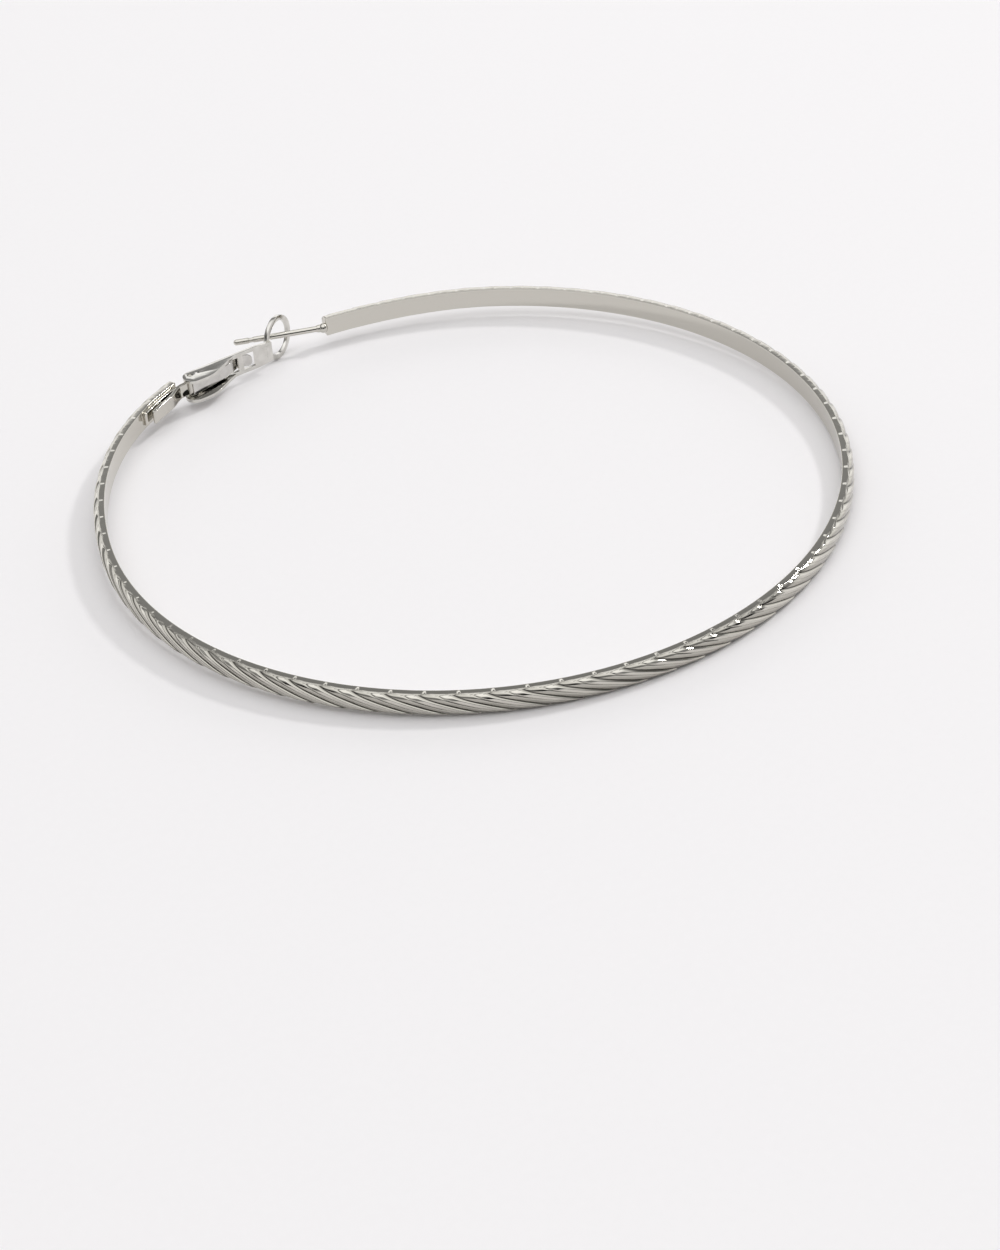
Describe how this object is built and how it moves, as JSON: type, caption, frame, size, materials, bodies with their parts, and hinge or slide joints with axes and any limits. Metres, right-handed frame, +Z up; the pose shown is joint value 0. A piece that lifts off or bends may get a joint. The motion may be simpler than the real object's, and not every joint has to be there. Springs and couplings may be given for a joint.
{
  "type": "hoop earring",
  "caption": "Large round hoop earring with a slant-fluted outer face, a straight ear post and a hinged lever clasp whose eye closes over the post.",
  "frame": {"origin": "middle of the earring's footprint, on the surface it lies on", "axes": "+Z up from that surface, which is the hoop's axis but for a tilt of 1.08 degrees about X; +Y from the middle of the hoop to the eye of the clasp; +X to the right of it seen from above, towards the band's post end"},
  "size_m": [0.08, 0.0824, 0.0053],
  "materials": {
    "bright_plating": "bright rhodium-coloured plating, polished",
    "lever_plating": "bright plating on stamped sheet, slightly softer than the hoop",
    "spring_steel": "rolled spring strip, satin"
  },
  "bodies": {
    "hoop": {"hoop": "bright_plating"},
    "lever": {"clasp_lever": "lever_plating", "clasp_spring": "spring_steel", "hinge_pin": "bright_plating"}
  },
  "joints": [
    {"name": "lever_hinge", "type": "hinge", "parent": "hoop", "child": "lever", "pos_m": [-0.0132, 0.03573, 0.0026], "axis": [0, -0.0189, 0.9998], "range_deg": [-3, 8.5]}
  ]
}
